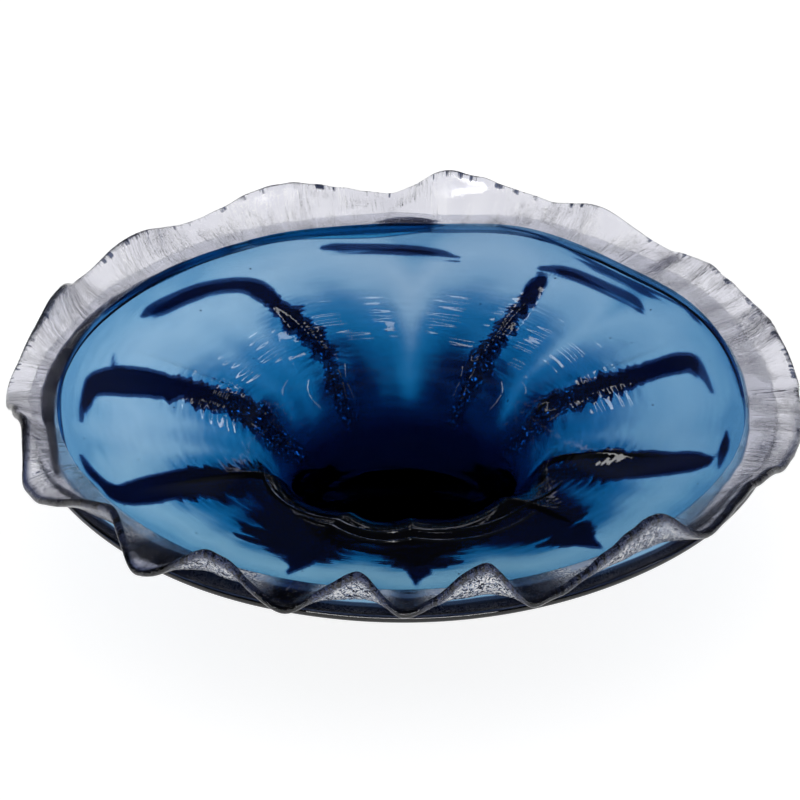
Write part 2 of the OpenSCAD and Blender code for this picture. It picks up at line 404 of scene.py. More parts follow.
def bowl_face(shares, layer, gap=0.0):
    """Grid of one face of the bowl's glass."""
    p = outline(shares)[:, None, :]
    out = outward(shares)[:, None, :]
    radius = p[..., 0] * np.ones((1, SECTORS))
    degrees = np.degrees(ANGLES)[None, :] * np.ones_like(radius)
    u, panel = panel_phase(degrees)
    x, y = radius * np.cos(ANGLES), radius * np.sin(ANGLES)
    inside = deepest_inside(x, y, RIBS)
    height = smooth(inside, -2.5, 4.0)
    sag = PANEL_SAG * 4 * u * (1 - u) * panel_strength(radius)
    if layer == 0:
        wander = ring_waves(6, 1, 9, 11)(ANGLES)
        patches = 0.6 + 0.4 * ring_waves(8, 4, 30, 13)(ANGLES)
        pattern = waves(6, 1.15, 1.75, 12)
        calm = 1 - in_front(ANGLES)[None, :]
        raised = 1 - smooth(-np.sin(ANGLES), 0.1, 0.5)[None, :]
        ripples = pattern(radius + 2.2 * wander[None, :] + 7 * panel) * patches * smooth(radius, 68, 80) \
            * (1 - smooth(radius, 112, 140))
        teeth = waves(6, 1.6, 3.0, 14)(radius + 4 * wander[None, :]) * smooth(inside, 0, 2) \
            * smooth(radius, 56, 66) * (1 - smooth(radius, 95, 125))
        threads = THREAD_RISE * smooth(deepest_inside(x, y, THREADS, -3.0), -0.7, 0.8)
        ridge = height * smooth(radius, 24, 60) * (1 - 0.8 * smooth(radius, 100, 135))
        depth = sag - RIB_RISE * ridge * (0.08 + 0.92 * raised) - TOOTH_RISE * teeth * raised - threads \
            - RIPPLE_RISE * ripples * calm * (1 - 0.8 * height)
    elif layer == 1:
        depth = sag - 0.4 * height * smooth(radius, 24, 60)
    else:
        depth = sag * 0.8 * smooth(radius, 45, 75)
    depth = depth + layer_depth(shares, layer)[:, None] + gap
    out_by, up_by = lip_offset(radius, degrees)
    r = p[..., 0] + depth * out[..., 0]
    z = np.minimum(p[..., 1] + depth * out[..., 1], RIM_HEIGHT)
    return turned(r + out_by, z + up_by, ANGLES[None, :])


def glass_layer(name, upper, lower, gap=0.0):
    """One layer of the bowl's glass. Faces run from 0, the blue's upper one, to 2, the casing's lower one."""
    top = bowl_face(ring_shares(UPPER_RINGS if upper == 0 else LOWER_RINGS), upper, gap)
    low = bowl_face(ring_shares(LOWER_RINGS), lower)
    rows = len(top)
    points = np.vstack([top.reshape(-1, 3), low.reshape(-1, 3)])
    start = rows * SECTORS
    faces = ring_faces(rows, SECTORS, flip=True)
    dull = np.ones(rows - 1)
    if upper == 0:
        dull = 1 - smooth(np.hypot(*top[:-1, 0, :2].T), *UPPER_CLEARING)
    fused = np.repeat(dull, SECTORS).tolist()
    faces += ring_faces(len(low), SECTORS, start)
    if lower == 1:
        fused += [1.0] * (len(faces) - len(fused))
    else:
        clear = 1 - smooth(np.hypot(*low[:-1, 0, :2].T), *LOWER_CLEARING)
        fused += np.repeat(clear, SECTORS).tolist()
    rim_top, rim_low = (rows - 1) * SECTORS, start + (len(low) - 1) * SECTORS
    n = np.arange(SECTORS)
    m = (n + 1) % SECTORS
    faces += np.stack([rim_low + n, rim_low + m, rim_top + m, rim_top + n], -1).tolist()
    fused += [1.0] * SECTORS
    centre = len(points)
    middle = (outline([0.0]) + (layer_depth(np.array([0.0]), upper)[0] + gap) * np.array([0, -1.0]))[0]
    bottom = (outline([0.0]) + layer_depth(np.array([0.0]), lower)[0] * np.array([0, -1.0]))[0]
    points = np.vstack([points, [[0, 0, middle[1]], [0, 0, bottom[1]]]])
    faces += [(centre, int(b), int(a)) for a, b in zip(m, n)]
    faces += [(centre + 1, start + int(a), start + int(b)) for a, b in zip(m, n)]
    fused += [dull[0]] * SECTORS + [1.0] * SECTORS
    x, y = points[:, 0], points[:, 1]
    looks = {}
    if upper == 0:
        radius, angle = np.hypot(x, y), np.arctan2(y, x)
        front = in_front(angle)
        strand = deepest_inside(x, y, THREADS)
        strand[start:] = strand.min()
        broken = 3.0 * front * smooth(radius, 62, 76) * (1 - smooth(radius, 140, 160))
        looks = {
            "rib": np.maximum(deepest_inside(x, y, RIBS), deepest_inside(x, y, LENSES)),
            "lip": deepest_inside(x, y, LIP_LENSES),
            # Painted shade toward the well and across the front, with the glass's own deepening
            "shade": bowl_shade(x, y),
            # Where the threads are painted pale as highlights
            "thread": strand,
            "rippled": ripple_share(radius) + broken,
            # Where painted highlights go inside the ribs on the well's wall
            "painted_glint": smooth(radius, 50, 58) * (1 - smooth(radius, 84, 104)) * (1 - front),
            "sideways": np.cos(angle) * smooth(radius, 40, 80),
            "behind": np.sin(angle) * smooth(radius, 40, 80),
        }
    return mesh_piece(name, points, faces, fused, looks)


# ---- the lip band ----


def lip_band():
    sectors, arc = 720, 12
    angle = np.arange(sectors) * TAU / sectors
    degrees = np.degrees(angle)
    edge = BAND_WALL / 2
    inner = RIM_RADIUS + FUSED_GAP
    waver = ring_waves(5, 2, 11, 21)(angle)
    level = np.ones(sectors)
    flat = inner + (BAND_RADIUS - edge - inner) * np.linspace(0, 1, 9)[:-1]
    rows = [(r * level, BAND_LOW[2] * level) for r in flat]
    for t in np.linspace(-math.pi / 2, math.pi / 2, arc):
        r = BAND_RADIUS - edge + edge * math.cos(t) - 0.35 * (1 + waver)
        rows.append((r, (BAND_LOW[2] + edge + edge * math.sin(t)) * level))
    rows += [(r * level, BAND_HIGH[2] * level) for r in flat[::-1]]
    out_by, up_by = lip_offset(RIM_RADIUS * level, degrees)
    grid = np.array([turned(r + out_by * (0.5 + 0.5 * (r < inner + 1)), z + up_by, angle) for r, z in rows])
    faces = ring_faces(len(rows), sectors)
    fused = [0.0] * len(faces) + [1.0] * sectors
    last = (len(rows) - 1) * sectors
    n = np.arange(sectors)
    m = (n + 1) % sectors
    faces += np.stack([last + n, last + m, m, n], -1).tolist()
    points = grid.reshape(-1, 3)
    x, y = points[:, 0], points[:, 1]
    limit = by_direction(BLUE_LIMIT, np.degrees(np.arctan2(y, x)))[..., 0]
    return mesh_piece("Lip_band", points, faces, fused,
                      {"gather": deepest_inside(x, y, GATHERS_AND_SHADE), "blue": limit - np.hypot(x, y)})


# ---- the frill ----

FRILL_STATIONS = 3800
UPPER_STEPS, BEAD_STEPS, LOWER_STEPS = 11, 6, 9
COMB_MARKS, COMB_BITE = 430, 0.38
KNEE_REACH = 13
# What the ribbon's relief may add is taken off its thickness first
RELIEF_ROOM = 0.2


def edge_height(degrees):
    return by_direction(FRILL_TURNS, degrees)[..., 0]


def comb_marks(seed, count):
    """Grooves that a comb leaves across the ribbon: their place, slant, depth, width and reach."""
    pick = np.random.default_rng(seed)
    place = (np.arange(count) + pick.uniform(-0.45, 0.45, count)) * TAU / count
    crowd = ring_waves(9, 5, 45, seed + 1)(place)
    depth = COMB_BITE * ramp(crowd, -0.35, 0.5) * pick.uniform(0.45, 1, count)
    middle = pick.uniform(0.25, 0.95, count)
    reach = pick.uniform(0.1, 0.45, count)
    return place, pick.uniform(-0.012, 0.012, count), depth, pick.uniform(0.35, 0.75, count), middle, reach


def combed(angle, v, marks):
    """Depth of the comb's grooves along one line of the ribbon."""
    place, slant, depth, width, middle, reach = marks
    turn = (angle[:, None] - place - slant * v + math.pi) % TAU - math.pi
    fade = depth * (1 - smooth(np.abs(v - middle), 0.6 * reach, reach))
    return (fade * np.exp(-(turn * 190 / width) ** 2)).sum(1)


# Where the comb bit deepest, apart from the front's crests: direction and half width in degrees, and strength
SCORED_CLUSTERS = ((18, 6, 0.6), (133, 6, 0.35), (160, 9, 0.35), (203, 12, 0.65), (341, 14, 0.6))


def comb_share(angle, height):
    """How strongly the comb scored the ribbon: most on the front's crests and at the two sides."""
    front = in_front(angle) * smooth(height, 0, 9)
    sides = sum(most * np.exp(-((np.degrees(angle) - direction) / half) ** 2)
                for direction, half, most in SCORED_CLUSTERS)
    return np.clip(0.12 + front + sides, 0, 1)


def crimped_frill():
    angle = np.arange(FRILL_STATIONS) * TAU / FRILL_STATIONS
    degrees = np.degrees(angle)
    h = edge_height(degrees) + 0.45 * ring_waves(9, 25, 90, 33)(angle)
    out_by, up_by = lip_offset(RIM_RADIUS * np.ones(FRILL_STATIONS), degrees)
    band_top = BAND_HIGH[2]
    root = np.stack([RIM_RADIUS + FUSED_GAP + out_by, band_top + FRILL_WALL / 2 + FUSED_GAP + up_by], -1)
    knee = np.stack([RIM_RADIUS + KNEE_REACH + 0.5 * out_by, band_top + FRILL_WALL / 2 + 1 + up_by], -1)
    sway = 0.5 * ring_waves(7, 12, 60, 34)(angle) - 0.5
    edge = np.stack([FRILL_RADIUS - FRILL_LEAN * h + sway, RIM_HEIGHT + h], -1)

    def middle(v):
        return (1 - v) ** 2 * root + 2 * v * (1 - v) * knee + v * v * edge

    def heading(v):
        d = 2 * (1 - v) * (knee - root) + 2 * v * (edge - knee)
        return d / np.linalg.norm(d, axis=-1, keepdims=True)

    upper, lower = comb_marks(35, COMB_MARKS), comb_marks(37, COMB_MARKS)
    swell = 0.3 * ring_waves(9, 10, 70, 39)(angle)
    rows = []
    out_steps, back_steps = np.linspace(0, 1, LOWER_STEPS), np.linspace(1, 0, UPPER_STEPS)
    for side, marks, steps in ((-1, lower, out_steps), (1, upper, back_steps)):
        for v in steps:
            d = heading(v)
            normal = np.stack([-d[:, 1], d[:, 0]], -1)
            half = FRILL_WALL / 2 * (1 - v) + (FRILL_BEAD / 2 - RELIEF_ROOM) * v - RELIEF_ROOM * (1 - v)
            body = math.sin(math.pi * min(1, max(0, v))) ** 0.5
            relief = (swell - combed(angle, v, marks)) * body - 0.5 * combed(angle, v, marks) * (v > 0.95)
            rows.append(middle(v) + side * (half + relief)[:, None] * normal)
        if side < 0:
            d = heading(1.0)
            normal = np.stack([-d[:, 1], d[:, 0]], -1)
            notch = 0.6 * (combed(angle, 1.0, upper) + combed(angle, 1.0, lower))
            for t in np.linspace(-math.pi / 2, math.pi / 2, BEAD_STEPS + 2)[1:-1]:
                reach = (FRILL_BEAD / 2 - RELIEF_ROOM - notch)[:, None]
                rows.append(middle(1.0) + reach * (math.cos(t) * d + math.sin(t) * normal))
    grid = np.array([turned(row[:, 0], row[:, 1], angle) for row in rows])
    away = np.concatenate([out_steps, np.ones(BEAD_STEPS), back_steps])
    combed_by = np.multiply.outer(smooth(away, 0.15, 0.5), comb_share(angle, h))
    # Painted shade: the troughs of the front's ribbon and its bead round the front are painted dark
    trough_shade = in_front(angle) * (1 - smooth(h, 1, 9))
    bead_shade = np.multiply.outer(smooth(away, 0.88, 0.97), smooth(-np.sin(angle), -0.1, 0.4))
    faces = ring_faces(len(rows), FRILL_STATIONS)
    fused = [0.0] * len(faces) + [1.0] * FRILL_STATIONS
    last = (len(rows) - 1) * FRILL_STATIONS
    n = np.arange(FRILL_STATIONS)
    m = (n + 1) % FRILL_STATIONS
    faces += np.stack([last + n, last + m, m, n], -1).tolist()
    return mesh_piece("Crimped_frill", grid.reshape(-1, 3), faces, fused,
                      {"away": np.repeat(away, FRILL_STATIONS), "combed": combed_by.ravel(),
                       "crest": np.tile(in_front(angle) * smooth(h, 2, 10), len(rows)),
                       "front_painted_shade": np.maximum(trough_shade, bead_shade).ravel()})


# ---- the foot ----


def foot_pad():
    sectors = 240
    angle = np.arange(sectors) * TAU / sectors
    run = 0.3 * np.linspace(0, 1, 25)
    top = outline(run) + layer_depth(run, 2)[:, None] * outward(run) - [0, FUSED_GAP]
    end = top[-1]
    start = np.array([FOOT_RADIUS, FOOT_ROUND])
    waist = bezier((start, start + [0, 3], end - [3, 3], end), np.linspace(0, 1, 14)[1:-1])
    turn = np.linspace(-math.pi / 2, 0, 10)
    corner = np.array([FOOT_RADIUS - FOOT_ROUND, FOOT_ROUND]) + FOOT_ROUND * np.stack(
        [np.cos(turn), np.sin(turn)], -1)
    under = [(r, 0.35 * (1 - (r / 16) ** 2) if r < 16 else 0.0) for r in (2, 5, 8, 11, 14, 16, 24, 36, 44)]
    profile = np.vstack([under, corner, waist, top[:0:-1]])
    grid = np.array([turned(r * np.ones(sectors), z * np.ones(sectors), angle) for r, z in profile])
    points = grid.reshape(-1, 3)
    faces = ring_faces(len(profile), sectors)
    last = (len(profile) - 1) * sectors
    base, peak = len(points), len(points) + 1
    points = np.vstack([points, [[0, 0, 0.35], [0, 0, top[0][1]]]])
    melted = (profile[:-1, 1] > FOOT_ROUND + 1) & (profile[1:, 0] < FOOT_CONTACT)
    fused = np.repeat(melted, sectors).astype(float).tolist()
    for k in range(sectors):
        j = (k + 1) % sectors
        faces += [(base, j, k), (peak, last + k, last + j)]
        fused += [0.0, 1.0]
    return mesh_piece("Foot_pad", points, faces, fused)


# ---- materials ----


def new_material(name):
    mat = bpy.data.materials.new(name)
    mat.use_nodes = True
    nt = mat.node_tree
    nt.nodes.clear()
    out = nt.nodes.new("ShaderNodeOutputMaterial")
    shader = nt.nodes.new("ShaderNodeBsdfPrincipled")
    nt.links.new(shader.outputs["BSDF"], out.inputs["Surface"])
    return mat, nt, shader, out


def node(nt, kind, **values):
    n = nt.nodes.new(kind)
    for key, value in values.items():
        if hasattr(n, key):
            setattr(n, key, value)
        else:
            n.inputs[key.replace("_", " ")].default_value = value
    return n


def set_stops(ramp_node, stops):
    elements = ramp_node.color_ramp.elements
    while len(elements) < len(stops):
        elements.new(0.5)
    for element, (position, colour) in zip(elements, stops):
        element.position, element.color = position, (*colour, 1)


GLASS_IOR = 1.5


def glass(name, absorb):
    """Clear or tinted glass. absorb is what a millimetre takes from red, green and blue."""
    mat, nt, shader, out = new_material(name)
    shader.inputs["Base Color"].default_value = (1, 1, 1, 1)
    shader.inputs["Transmission Weight"].default_value = 1.0
    shader.inputs["Roughness"].default_value = 0.0
    shader.inputs["IOR"].default_value = GLASS_IOR
    # Two pieces melted together are one glass, so light crosses the face between them unbent
    fused = node(nt, "ShaderNodeAttribute", attribute_name="fused")
    bend = node(nt, "ShaderNodeMath", operation="MULTIPLY_ADD")
    bend.inputs[1].default_value, bend.inputs[2].default_value = 1 - GLASS_IOR, GLASS_IOR
    nt.links.new(fused.outputs["Fac"], bend.inputs[0])
    nt.links.new(bend.outputs[0], shader.inputs["IOR"])
    taken = np.array(absorb) / MM
    volume = nt.nodes.new("ShaderNodeVolumeAbsorption")
    volume.inputs["Density"].default_value = float(taken.max() * 1.05)
    volume.inputs["Color"].default_value = (*(1 - taken / (taken.max() * 1.05)), 1)
    nt.links.new(volume.outputs["Volume"], out.inputs["Volume"])
    return mat, nt, shader


def polar_noise(nt, around, outward_cells, detail=2.0, distortion=0.0):
    """Noise that runs round the bowl: cells per unit of angle, and cells per metre outward."""
    coords = node(nt, "ShaderNodeTexCoord")
    flat = node(nt, "ShaderNodeVectorMath", operation="MULTIPLY")
    flat.inputs[1].default_value = (1, 1, 0)
    unit = node(nt, "ShaderNodeVectorMath", operation="NORMALIZE")
    length = node(nt, "ShaderNodeVectorMath", operation="LENGTH")
    spread = node(nt, "ShaderNodeVectorMath", operation="SCALE")
    spread.inputs["Scale"].default_value = around
    along = node(nt, "ShaderNodeMath", operation="MULTIPLY")
    along.inputs[1].default_value = outward_cells
    lift = node(nt, "ShaderNodeCombineXYZ")
    both = node(nt, "ShaderNodeVectorMath", operation="ADD")
    noise = node(nt, "ShaderNodeTexNoise", Scale=1.0, Detail=detail, Distortion=distortion)
    for source, target in ((coords.outputs["Object"], flat.inputs[0]), (flat.outputs[0], unit.inputs[0]),
                           (flat.outputs[0], length.inputs[0]), (unit.outputs[0], spread.inputs[0]),
                           (length.outputs["Value"], along.inputs[0]), (along.outputs[0], lift.inputs["Z"]),
                           (spread.outputs[0], both.inputs[0]), (lift.outputs[0], both.inputs[1]),
                           (both.outputs[0], noise.inputs["Vector"])):
        nt.links.new(source, target)
    return noise.outputs["Fac"]


def maths(nt, operation, first, second):
    """A Math node on sockets or numbers."""
    n = node(nt, "ShaderNodeMath", operation=operation)
    for k, value in enumerate((first, second)):
        if isinstance(value, (int, float)):
            n.inputs[k].default_value = value
        else:
            nt.links.new(value, n.inputs[k])
    return n.outputs[0]


def attribute(nt, name):
    return node(nt, "ShaderNodeAttribute", attribute_name=name).outputs["Fac"]


def toned(nt, value, low, high, stops):
    """A colour ramp of value, whose stops are in value's own unit from low to high."""
    span = node(nt, "ShaderNodeMapRange")
    span.inputs["From Min"].default_value, span.inputs["From Max"].default_value = low, high
    tone = node(nt, "ShaderNodeValToRGB")
    set_stops(tone, [((at - low) / (high - low), colour) for at, colour in stops])
    nt.links.new(value, span.inputs["Value"])
    nt.links.new(span.outputs["Result"], tone.inputs["Fac"])
    return tone.outputs["Color"]


def multiplied(nt, first, second):
    both = node(nt, "ShaderNodeMix", data_type="RGBA", blend_type="MULTIPLY")
    both.inputs[0].default_value = 1.0
    nt.links.new(first, both.inputs[6])
    nt.links.new(second, both.inputs[7])
    return both.outputs[2]


def blue_glass():
    mat, nt, shader = glass("Blue_glass", (0.085, 0.06, 0.035))
    rib_depth, rippled = attribute(nt, "rib"), attribute(nt, "rippled")
    # Painted shade: the blue darkens from the lip to the well and across the front, partly its own deepening,
    # with painted dark lines where the ripples run beside the ribs
    streaks = maths(nt, "MULTIPLY", maths(nt, "SUBTRACT", polar_noise(nt, 5.0, 300.0, 3.0), 0.5), 0.14)
    lines = toned(nt, polar_noise(nt, 3.0, 340.0, 1.0), 0, 1, ((0.46, (0, 0, 0)), (0.58, (1, 1, 1))))
    beside = toned(nt, rib_depth, -18, 0, ((-16, (0, 0, 0)), (-4, (1, 1, 1))))
    line_depth = maths(nt, "MINIMUM", maths(nt, "MULTIPLY", rippled, 0.10), 0.12)
    ripple_lines = maths(nt, "MULTIPLY", maths(nt, "MULTIPLY", lines, beside), line_depth)
    shade = maths(nt, "ADD", maths(nt, "ADD", attribute(nt, "shade"), streaks), ripple_lines)
    # The stops are given colours that a script scaled by 1.25
    shade_and_light_tone = toned(nt, shade, 0, 1, (
        (0.0, (0.188, 0.413, 0.65)), (0.07, (0.312, 0.537, 0.75)), (0.15, (0.4, 0.6, 0.8)),
        (0.22, (0.45, 0.644, 0.831)), (0.37, (0.338, 0.55, 0.762)), (0.44, (0.188, 0.388, 0.625)),
        (0.515, (0.056, 0.25, 0.512)), (0.59, (0.018, 0.2, 0.45)), (0.665, (0.0075, 0.163, 0.388)),
        (0.74, (0.0028, 0.094, 0.263)), (0.81, (0.001, 0.018, 0.088)), (0.89, (0.0007, 0.0044, 0.03)),
        (0.96, (0.0006, 0.0031, 0.022))))
    # Painted light: the brim is painted greener to the left and bluer to the right and in front,
    # as the light that comes up through it
    across = toned(nt, attribute(nt, "sideways"), -1, 1, (
        (-1, (0.90, 1, 1)), (-0.4, (0.82, 0.86, 0.86)), (0, (0.8, 0.8, 0.8)), (0.4, (0.74, 0.78, 0.80)),
        (1, (0.52, 0.71, 0.79))))
    along = toned(nt, attribute(nt, "behind"), -1, 1, ((-1, (0.74, 1, 1)), (-0.2, (1, 1, 1))))
    shade_and_light_tone = multiplied(nt, shade_and_light_tone, multiplied(nt, across, along))
    # The ribs' edges are toothed by the ripples they cross
    teeth = maths(nt, "MULTIPLY", maths(nt, "SUBTRACT", polar_noise(nt, 4.0, 235.0, 2.0), 0.5), 20.0)
    rib = maths(nt, "ADD", rib_depth, maths(nt, "MULTIPLY", teeth, maths(nt, "MAXIMUM", rippled, 0.1)))
    # Painted shade: the ribs and the lenses are painted near black
    rib_painted_shade = toned(nt, rib, -2, 2, (
        (-1.6, (1, 1, 1)), (-0.4, (0.55, 0.72, 0.86)), (0.0, (0.05, 0.13, 0.30)), (0.5, (0.005, 0.018, 0.07)),
        (1.4, (0.002, 0.007, 0.035))))
    lip_tone = toned(nt, attribute(nt, "lip"), -1.5, 2.5, (
        (-0.6, (1, 1, 1)), (-0.1, (0.01, 0.05, 0.14)), (0.4, (0.012, 0.14, 0.32)), (1.0, (0.02, 0.28, 0.52)),
        (2.2, (0.03, 0.34, 0.58))))
    coords = node(nt, "ShaderNodeTexCoord")
    seeds = node(nt, "ShaderNodeTexVoronoi", Scale=58.0)
    nt.links.new(coords.outputs["Object"], seeds.inputs["Vector"])
    seed_tone = toned(nt, seeds.outputs["Distance"], 0, 0.1, (
        (0.028, (0.02, 0.05, 0.10)), (0.045, (1, 1, 1))))
    colour = multiplied(nt, multiplied(nt, shade_and_light_tone, rib_painted_shade), multiplied(nt, lip_tone, seed_tone))
    # Painted highlights: small clear blue glints painted inside the ribs on the well's wall
    glint_noise = node(nt, "ShaderNodeTexNoise", Scale=520.0, Detail=2.0)
    nt.links.new(coords.outputs["Object"], glint_noise.inputs["Vector"])
    painted_glint_spots = toned(nt, glint_noise.outputs["Fac"], 0, 1, ((0.60, (0, 0, 0)), (0.67, (1, 1, 1))))
    within = toned(nt, rib, -2, 4, ((-1, (0, 0, 0)), (1, (1, 1, 1))))
    painted_glint = maths(nt, "MULTIPLY", maths(nt, "MULTIPLY", painted_glint_spots, within), attribute(nt, "painted_glint"))
    with_painted_glints = node(nt, "ShaderNodeMix", data_type="RGBA")
    with_painted_glints.inputs[7].default_value = (0.01, 0.20, 0.75, 1)
    nt.links.new(painted_glint, with_painted_glints.inputs[0])
    nt.links.new(colour, with_painted_glints.inputs[6])
    # Painted highlights: the threads round the front of the well's mouth are painted pale and partly matt
    threads = maths(nt, "ADD", attribute(nt, "thread"), maths(
        nt, "MULTIPLY", maths(nt, "SUBTRACT", polar_noise(nt, 6.0, 30.0, 3.0), 0.5), 2.2))
    painted_thread_highlight = toned(nt, threads, -1, 2, ((0.4, (0, 0, 0)), (0.85, (1, 1, 1))))
    deepest = node(nt, "ShaderNodeMix", data_type="RGBA", blend_type="LIGHTEN")
    deepest.inputs[0].default_value = 1.0
    deepest.inputs[7].default_value = (0.001, 0.003, 0.016, 1)
    nt.links.new(with_painted_glints.outputs[2], deepest.inputs[6])
    with_thread_highlights = node(nt, "ShaderNodeMix", data_type="RGBA")
    with_thread_highlights.inputs[7].default_value = (0.50, 0.54, 0.62, 1)
    nt.links.new(painted_thread_highlight, with_thread_highlights.inputs[0])
    nt.links.new(deepest.outputs[2], with_thread_highlights.inputs[6])
    nt.links.new(with_thread_highlights.outputs[2], shader.inputs["Base Color"])
    clear = maths(nt, "SUBTRACT", 1.0, maths(nt, "MULTIPLY", painted_thread_highlight, 0.5))
    nt.links.new(clear, shader.inputs["Transmission Weight"])
    grain = node(nt, "ShaderNodeTexNoise", Scale=420.0, Detail=3.0)
    nt.links.new(coords.outputs["Object"], grain.inputs["Vector"])
    bump = node(nt, "ShaderNodeBump", Strength=0.04, Distance=0.0004)
    nt.links.new(grain.outputs["Fac"], bump.inputs["Height"])
    nt.links.new(bump.outputs["Normal"], shader.inputs["Normal"])
    return mat


def band_glass():
    mat, nt, shader = glass("Band_glass", (0.045, 0.043, 0.034))
    # Painted shade: near black along the front's edge and at the left root, with the gather's line and a fold
    # at the back
    edge = maths(nt, "ADD", attribute(nt, "gather"),
                 maths(nt, "MULTIPLY", maths(nt, "SUBTRACT", polar_noise(nt, 9.0, 60.0, 2.0), 0.5), 2.0))
    tone = toned(nt, edge, -2, 2, (
        (-0.5, (1, 1, 1)), (0.1, (0.08, 0.10, 0.17)), (0.6, (0.006, 0.007, 0.016))))
    bled = toned(nt, attribute(nt, "blue"), -3, 3, (
        (-1.6, (1, 1, 1)), (-0.8, (0.10, 0.20, 0.34)), (-0.2, (0.20, 0.40, 0.60)), (1.5, (0.30, 0.54, 0.74))))
    nt.links.new(multiplied(nt, tone, bled), shader.inputs["Base Color"])
    coords = node(nt, "ShaderNodeTexCoord")
    grain = node(nt, "ShaderNodeTexNoise", Scale=140.0, Detail=4.0)
    nt.links.new(coords.outputs["Object"], grain.inputs["Vector"])
    bump = node(nt, "ShaderNodeBump", Strength=0.05, Distance=0.0006)
    nt.links.new(grain.outputs["Fac"], bump.inputs["Height"])
    nt.links.new(bump.outputs["Normal"], shader.inputs["Normal"])
    return mat


def frill_glass():
    """Clear glass scored across by the comb: fine strokes in patches, and dark nicks along the edge."""
    mat, nt, shader = glass("Frill_glass", (0.048, 0.048, 0.038))
    share = attribute(nt, "combed")
    patches = toned(nt, polar_noise(nt, 8.0, 45.0, 2.0, 0.4), 0, 1, (
        (0.44, (0.1, 0.1, 0.1)), (0.60, (1, 1, 1))))
    strength = maths(nt, "MAXIMUM", maths(nt, "MULTIPLY", patches, 0.75), share)
    coords = node(nt, "ShaderNodeTexCoord")
    curls = node(nt, "ShaderNodeTexNoise", Scale=480.0, Detail=3.0, Distortion=1.6)
    nt.links.new(coords.outputs["Object"], curls.inputs["Vector"])
    # Long strokes on most of the ribbon, and small curls on the front's crests
    crest = attribute(nt, "crest")
    long_share = maths(nt, "SUBTRACT", 0.72, maths(nt, "MULTIPLY", crest, 0.5))
    curl_share = maths(nt, "ADD", 0.38, maths(nt, "MULTIPLY", crest, 0.75))
    scores = maths(nt, "SUBTRACT", polar_noise(nt, 190.0, 80.0, 2.0, 1.8), 0.5)
    long_strokes = maths(nt, "MULTIPLY", scores, long_share)
    curled = maths(nt, "MULTIPLY", maths(nt, "SUBTRACT", curls.outputs["Fac"], 0.5), curl_share)
    strokes = maths(nt, "ADD", long_strokes, curled)
    scored = maths(nt, "MULTIPLY", strokes, strength)
    dark = maths(nt, "MULTIPLY", maths(nt, "MULTIPLY", strokes, share), -1.0)
    plain = toned(nt, scored, -0.2, 0.2, ((0.015, (0.89, 0.89, 0.92)), (0.06, (1, 1, 1))))
    bold = toned(nt, scored, -0.2, 0.2, (
        (-0.08, (0.09, 0.13, 0.30)), (-0.03, (0.58, 0.69, 0.92)), (0.02, (0.80, 0.88, 1.0)),
        (0.06, (1, 1, 1))))
    crests = node(nt, "ShaderNodeMix", data_type="RGBA")
    nt.links.new(crest, crests.inputs[0])
    nt.links.new(plain, crests.inputs[6])
    nt.links.new(bold, crests.inputs[7])
    tone = crests.outputs[2]
    dark_tone = toned(nt, dark, 0, 0.2, (
        (0.045, (1, 1, 1)), (0.07, (0.12, 0.14, 0.22)), (0.1, (0.04, 0.05, 0.09))))
    # Painted shade on the front's troughs and bead
    front_shade_tone = toned(nt, attribute(nt, "front_painted_shade"), 0, 1, ((0.0, (1, 1, 1)), (1.0, (0.06, 0.08, 0.17))))
    jag = maths(nt, "MULTIPLY", polar_noise(nt, 60.0, 20.0, 3.0), 0.34)
    nick_tone = toned(nt, maths(nt, "ADD", jag, attribute(nt, "away")), 1.0, 1.3, (
        (1.0, (1, 1, 1)), (1.185, (1, 1, 1)), (1.21, (0.03, 0.04, 0.08))))
    colour = multiplied(nt, multiplied(nt, tone, dark_tone), multiplied(nt, nick_tone, front_shade_tone))
    nt.links.new(colour, shader.inputs["Base Color"])
    # The crests are scored so densely that they scatter light
    white_tone = toned(nt, scored, -0.2, 0.2, ((0.03, (0, 0, 0)), (0.075, (1, 1, 1))))
    white = maths(nt, "MULTIPLY", white_tone, 0.3)
    milky = maths(nt, "MULTIPLY", crest, maths(nt, "ADD", white, 0.52))
    nt.links.new(maths(nt, "SUBTRACT", 1.0, milky), shader.inputs["Transmission Weight"])
    bump = node(nt, "ShaderNodeBump", Strength=0.8, Distance=0.0012)
    nt.links.new(scored, bump.inputs["Height"])
    nt.links.new(bump.outputs["Normal"], shader.inputs["Normal"])
    return mat


def clear_glass(name, absorb, strength, scale):
    mat, nt, shader = glass(name, absorb)
    coords = node(nt, "ShaderNodeTexCoord")
    grain = node(nt, "ShaderNodeTexNoise", Scale=scale, Detail=4.0)
    nt.links.new(coords.outputs["Object"], grain.inputs["Vector"])
    bump = node(nt, "ShaderNodeBump", Strength=strength, Distance=0.0006)
    nt.links.new(grain.outputs["Fac"], bump.inputs["Height"])
    nt.links.new(bump.outputs["Normal"], shader.inputs["Normal"])
    return mat


# ---- building ----

pieces = (
    (glass_layer("Blue_bowl", 0, 1), "blue_bowl", "blue_glass", blue_glass()),
    (glass_layer("Clear_casing", 1, 2, FUSED_GAP), "clear_casing", "clear_casing_glass",
     clear_glass("Casing_glass", (0.008, 0.006, 0.004), 0.05, 120.0)),
    (lip_band(), "lip_band", "clear_band_glass", band_glass()),
    (crimped_frill(), "crimped_frill", "clear_frill_glass", frill_glass()),
    (foot_pad(), "foot_pad", "clear_foot_glass",
     clear_glass("Foot_glass", (0.010, 0.008, 0.006), 0.08, 160.0)),
)
for piece, cad_node, slot, mat in pieces:
    piece.data.materials.append(mat)
    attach(piece, "root")
    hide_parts(cad_node)

# ---- floor, lights and camera ----


FLOOR_LEVEL = -0.0002


